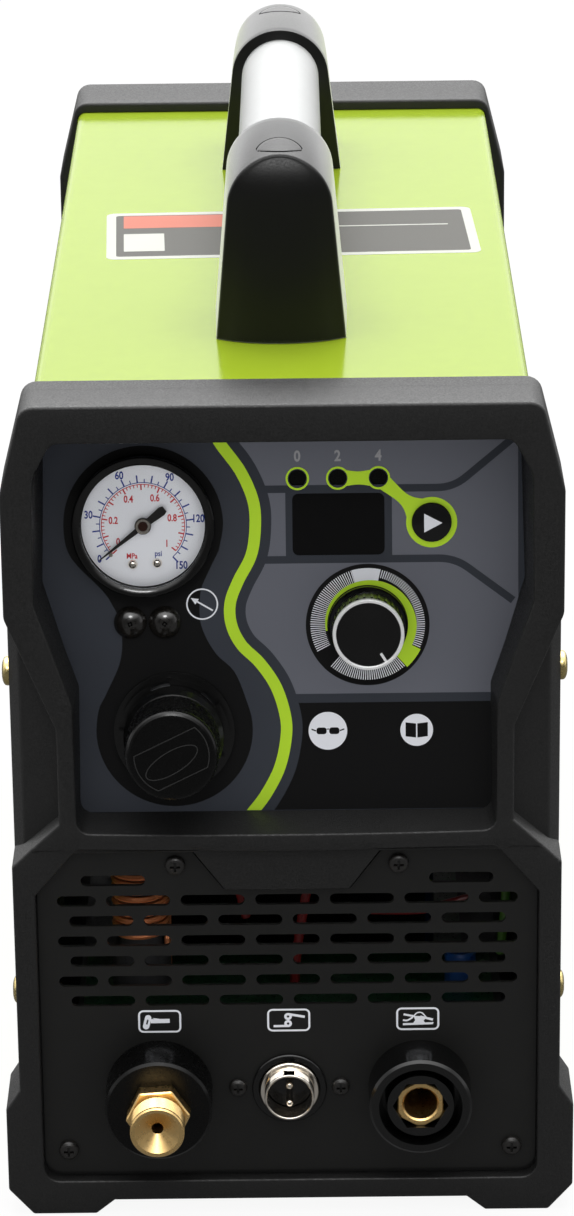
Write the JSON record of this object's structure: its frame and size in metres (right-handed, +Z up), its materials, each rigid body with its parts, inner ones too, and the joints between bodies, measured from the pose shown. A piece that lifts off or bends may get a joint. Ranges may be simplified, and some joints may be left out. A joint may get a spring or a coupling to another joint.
{
  "type": "plasma cutter unit",
  "caption": "Portable air plasma cutter: lime steel case with black end frames, tube handle, leaning control panel with gauge and knobs, slotted vent panel and torch and work lead sockets.",
  "frame": {"origin": "middle of the bounding box at floor level", "axes": "+X to the right seen from the front, +Y from the front panel to the back, +Z up"},
  "size_m": [0.1768, 0.438, 0.3252],
  "materials": {
    "black_plastic": "fine-grained moulded",
    "lime_paint": "glossy lime powder coat",
    "black_sheet": "satin black powder coat",
    "panel_film": "printed polyester film",
    "black_screw": "black oxide",
    "zinc": "yellow zinc plated",
    "steel": "bright zinc plated",
    "tube_aluminium": "satin anodised",
    "brass": "machined",
    "nickel": "nickel plated",
    "gloss_black": "gloss",
    "dial_white": "matt white",
    "clear": "clear lens",
    "dark_window": "smoked window",
    "lamp": "smoked lens",
    "cast_alloy": "die cast",
    "knob_metal": "turned",
    "board": "solder mask",
    "red_plastic": "gloss",
    "core": "ferrite",
    "copper": "enamelled copper wire",
    "cap_blue": "sleeved",
    "hose_blue": "smooth"
  },
  "bodies": {
    "case": {"front_bezel": "black_plastic", "rear_bezel": "black_plastic", "top_cover": "lime_paint", "base_pan": "black_sheet", "lower_panel": "black_sheet", "lower_panel_screws": "black_screw", "control_panel": "panel_film", "rear_panel": "black_sheet", "rear_panel_screws": "black_screw", "side_screws": "zinc", "handle_tube": "tube_aluminium", "front_handle_bracket": "black_plastic", "rear_handle_bracket": "black_plastic", "handle_plugs": "black_plastic", "handle_bolts": "steel", "gauge_case": "gloss_black", "gauge_dial": "dial_white", "gauge_lens": "clear", "gauge_rivets": "nickel", "bracket_screws": "black_screw", "regulator_body": "cast_alloy", "regulator_nut": "black_plastic", "regulator_bonnet": "black_plastic", "potentiometer": "steel", "display_window": "dark_window", "display_module": "gloss_black", "lamp_lenses": "lamp", "control_board": "board", "board_standoffs": "brass", "torch_insulator": "black_plastic", "torch_fitting": "brass", "control_socket": "nickel", "socket_insert": "gloss_black", "socket_pins": "nickel", "socket_screws": "black_screw", "earth_housing": "black_plastic", "earth_contact": "brass", "fan_frame": "black_plastic", "fan_guard": "black_sheet", "switch_body": "gloss_black", "cord_gland": "black_plastic", "air_inlet": "brass", "earth_stud": "steel", "main_board": "board", "heat_sinks": "cast_alloy", "transformer": "core", "choke_core": "core", "choke_winding": "copper", "capacitors": "cap_blue", "front_board": "board", "air_hose": "hose_blue"},
    "pointer": {"gauge_needle": "black_screw"},
    "regulator_screw": {"regulator_stem": "brass"},
    "regulator_cap": {"regulator_knob": "black_plastic"},
    "knob": {"current_knob": "black_plastic", "knob_trim": "knob_metal"},
    "button": {"mode_button": "gloss_black"},
    "rocker": {"switch_rocker": "red_plastic"},
    "fan": {"fan_rotor": "black_plastic"}
  },
  "joints": [
    {"name": "pointer_turn", "type": "hinge", "parent": "case", "child": "pointer", "pos_m": [-0.0423, -0.16834, 0.22094], "axis": [0, 0.9863, -0.165], "range_deg": [0, 270], "stiffness_Nm_per_rad": 0.002, "springref_deg": -11.46},
    {"name": "regulator_turn", "type": "hinge", "parent": "case", "child": "regulator_screw", "pos_m": [-0.0338, -0.197, 0.16115], "axis": [0, 0.9863, -0.165], "range_deg": [0, 1080]},
    {"name": "regulator_pull", "type": "slide", "parent": "regulator_screw", "child": "regulator_cap", "axis": [0, -0.9863, 0.165], "range_m": [0, 0.003]},
    {"name": "knob_turn", "type": "hinge", "parent": "case", "child": "knob", "pos_m": [0.0254, -0.17987, 0.19083], "axis": [0, -0.9863, 0.165], "range_deg": [-4, 296]},
    {"name": "button_press", "type": "slide", "parent": "case", "child": "button", "axis": [0, 0.9863, -0.165], "range_m": [0, 0.001], "stiffness_N_per_m": 300, "springref_m": -0.001},
    {"name": "rocker_tilt", "type": "hinge", "parent": "case", "child": "rocker", "pos_m": [-0.0275, 0.1945, 0.208], "axis": [1, 0, 0], "range_deg": [-16, 0]},
    {"name": "fan_spin", "type": "hinge", "parent": "case", "child": "fan", "pos_m": [0, 0.1815, 0.092], "axis": [0, 1, 0], "continuous": true}
  ]
}
